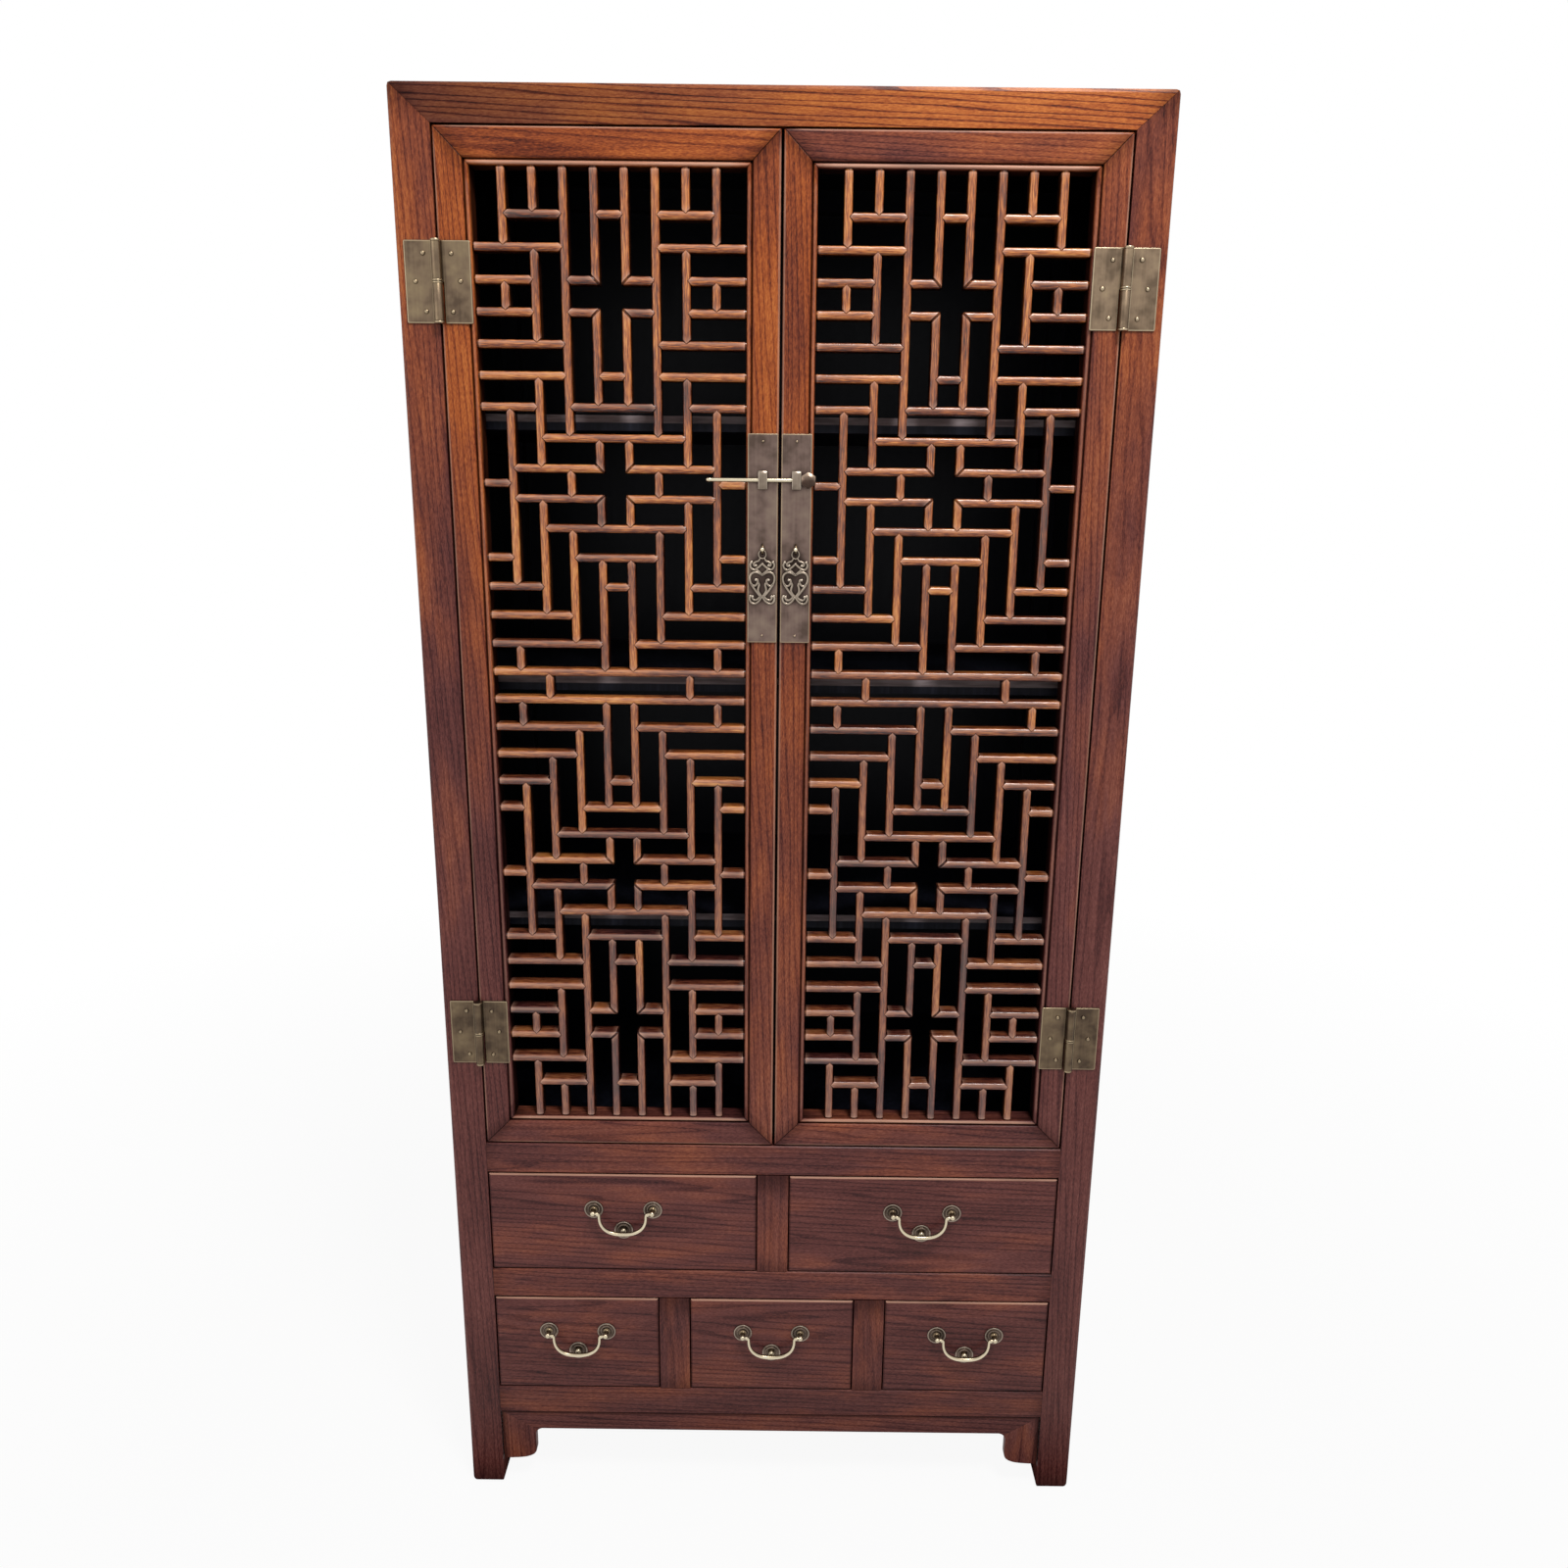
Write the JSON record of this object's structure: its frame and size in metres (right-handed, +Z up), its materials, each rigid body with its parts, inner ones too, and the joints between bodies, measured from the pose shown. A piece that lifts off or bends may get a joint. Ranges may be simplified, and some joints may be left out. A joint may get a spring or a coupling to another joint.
{
  "type": "kitchen cabinet",
  "caption": "Upright kitchen cabinet with paired lattice doors, openwork brass drop pulls and a sliding lock pin, over tiers of drawers with bail handles.",
  "frame": {"origin": "on the floor, under the middle of the whole cabinet's box with its hardware", "axes": "+Z up, the front with its doors and drawers faces -Y, +X to the right seen from the front"},
  "size_m": [0.87, 0.4648, 1.844],
  "materials": {
    "stained_elm": "satin stained, open grain",
    "dark_lacquer": "satin dark lacquer",
    "drawer_wood": "plain planed wood",
    "aged_brass": "aged, softly worn",
    "dark_bronze": "dark patina"
  },
  "bodies": {
    "carcase": {"post_front_left": "stained_elm", "post_front_right": "stained_elm", "post_back_left": "stained_elm", "post_back_right": "stained_elm", "top_rail_front": "stained_elm", "top_rail_left": "stained_elm", "top_rail_right": "stained_elm", "top_panel": "dark_lacquer", "side_panel_left": "stained_elm", "side_panel_right": "stained_elm", "back_panel": "stained_elm", "sill_rail": "stained_elm", "drawer_rail_middle": "stained_elm", "bottom_rail_front": "stained_elm", "drawer_divider_upper": "stained_elm", "drawer_divider_lower_left": "stained_elm", "drawer_divider_lower_right": "stained_elm", "apron_front": "stained_elm", "cabinet_floor": "dark_lacquer", "shelf_lower": "dark_lacquer", "shelf_middle": "dark_lacquer", "shelf_upper": "dark_lacquer", "hinge_upper_left_frame_leaf": "aged_brass", "hinge_upper_right_frame_leaf": "aged_brass", "hinge_lower_left_frame_leaf": "aged_brass", "hinge_lower_right_frame_leaf": "aged_brass"},
    "left_door": {"left_door_stile_outer": "stained_elm", "left_door_stile_meeting": "stained_elm", "left_door_rail_top": "stained_elm", "left_door_rail_bottom": "stained_elm", "left_door_lattice": "stained_elm", "hinge_upper_left_door_leaf": "aged_brass", "hinge_lower_left_door_leaf": "aged_brass", "lock_plate_left": "aged_brass"},
    "pull_left": {"pull_left": "aged_brass"},
    "right_door": {"right_door_stile_outer": "stained_elm", "right_door_stile_meeting": "stained_elm", "right_door_rail_top": "stained_elm", "right_door_rail_bottom": "stained_elm", "right_door_lattice": "stained_elm", "hinge_upper_right_door_leaf": "aged_brass", "hinge_lower_right_door_leaf": "aged_brass", "lock_plate_right": "aged_brass"},
    "pull_right": {"pull_right": "aged_brass"},
    "lock_pin": {"lock_pin": "dark_bronze"},
    "drawer_upper_left": {"drawer_front_upper_left": "stained_elm", "drawer_tray_upper_left": "drawer_wood"},
    "bail_upper_left": {"bail_upper_left": "aged_brass"},
    "drawer_upper_right": {"drawer_front_upper_right": "stained_elm", "drawer_tray_upper_right": "drawer_wood"},
    "bail_upper_right": {"bail_upper_right": "aged_brass"},
    "drawer_lower_left": {"drawer_front_lower_left": "stained_elm", "drawer_tray_lower_left": "drawer_wood"},
    "bail_lower_left": {"bail_lower_left": "aged_brass"},
    "drawer_lower_middle": {"drawer_front_lower_middle": "stained_elm", "drawer_tray_lower_middle": "drawer_wood"},
    "bail_lower_middle": {"bail_lower_middle": "aged_brass"},
    "drawer_lower_right": {"drawer_front_lower_right": "stained_elm", "drawer_tray_lower_right": "drawer_wood"},
    "bail_lower_right": {"bail_lower_right": "aged_brass"}
  },
  "joints": [
    {"name": "left_door_hinge", "type": "hinge", "parent": "carcase", "child": "left_door", "pos_m": [-0.388, -0.2234, 1.177], "axis": [0, 0, -1], "range_deg": [0, 165]},
    {"name": "pull_left_swing", "type": "hinge", "parent": "left_door", "child": "pull_left", "pos_m": [-0.01975, -0.22125, 1.3444], "axis": [-1, 0, 0], "range_deg": [0, 90]},
    {"name": "right_door_hinge", "type": "hinge", "parent": "carcase", "child": "right_door", "pos_m": [0.388, -0.2234, 1.177], "axis": [0, 0, 1], "range_deg": [0, 165]},
    {"name": "pull_right_swing", "type": "hinge", "parent": "right_door", "child": "pull_right", "pos_m": [0.01975, -0.22125, 1.3444], "axis": [-1, 0, 0], "range_deg": [0, 90]},
    {"name": "lock_pin_slide", "type": "slide", "parent": "right_door", "child": "lock_pin", "axis": [1, 0, 0], "range_m": [0, 0.075]},
    {"name": "drawer_upper_left_slide", "type": "slide", "parent": "carcase", "child": "drawer_upper_left", "axis": [0, -1, 0], "range_m": [0, 0.28]},
    {"name": "bail_upper_left_swing", "type": "hinge", "parent": "drawer_upper_left", "child": "bail_upper_left", "pos_m": [-0.205, -0.2286, 0.454], "axis": [-1, 0, 0], "range_deg": [0, 90]},
    {"name": "drawer_upper_right_slide", "type": "slide", "parent": "carcase", "child": "drawer_upper_right", "axis": [0, -1, 0], "range_m": [0, 0.28]},
    {"name": "bail_upper_right_swing", "type": "hinge", "parent": "drawer_upper_right", "child": "bail_upper_right", "pos_m": [0.205, -0.2286, 0.454], "axis": [-1, 0, 0], "range_deg": [0, 90]},
    {"name": "drawer_lower_left_slide", "type": "slide", "parent": "carcase", "child": "drawer_lower_left", "axis": [0, -1, 0], "range_m": [0, 0.28]},
    {"name": "bail_lower_left_swing", "type": "hinge", "parent": "drawer_lower_left", "child": "bail_lower_left", "pos_m": [-0.27333, -0.2286, 0.2595], "axis": [-1, 0, 0], "range_deg": [0, 90]},
    {"name": "drawer_lower_middle_slide", "type": "slide", "parent": "carcase", "child": "drawer_lower_middle", "axis": [0, -1, 0], "range_m": [0, 0.28]},
    {"name": "bail_lower_middle_swing", "type": "hinge", "parent": "drawer_lower_middle", "child": "bail_lower_middle", "pos_m": [0, -0.2286, 0.2595], "axis": [-1, 0, 0], "range_deg": [0, 90]},
    {"name": "drawer_lower_right_slide", "type": "slide", "parent": "carcase", "child": "drawer_lower_right", "axis": [0, -1, 0], "range_m": [0, 0.28]},
    {"name": "bail_lower_right_swing", "type": "hinge", "parent": "drawer_lower_right", "child": "bail_lower_right", "pos_m": [0.27333, -0.2286, 0.2595], "axis": [-1, 0, 0], "range_deg": [0, 90]}
  ]
}
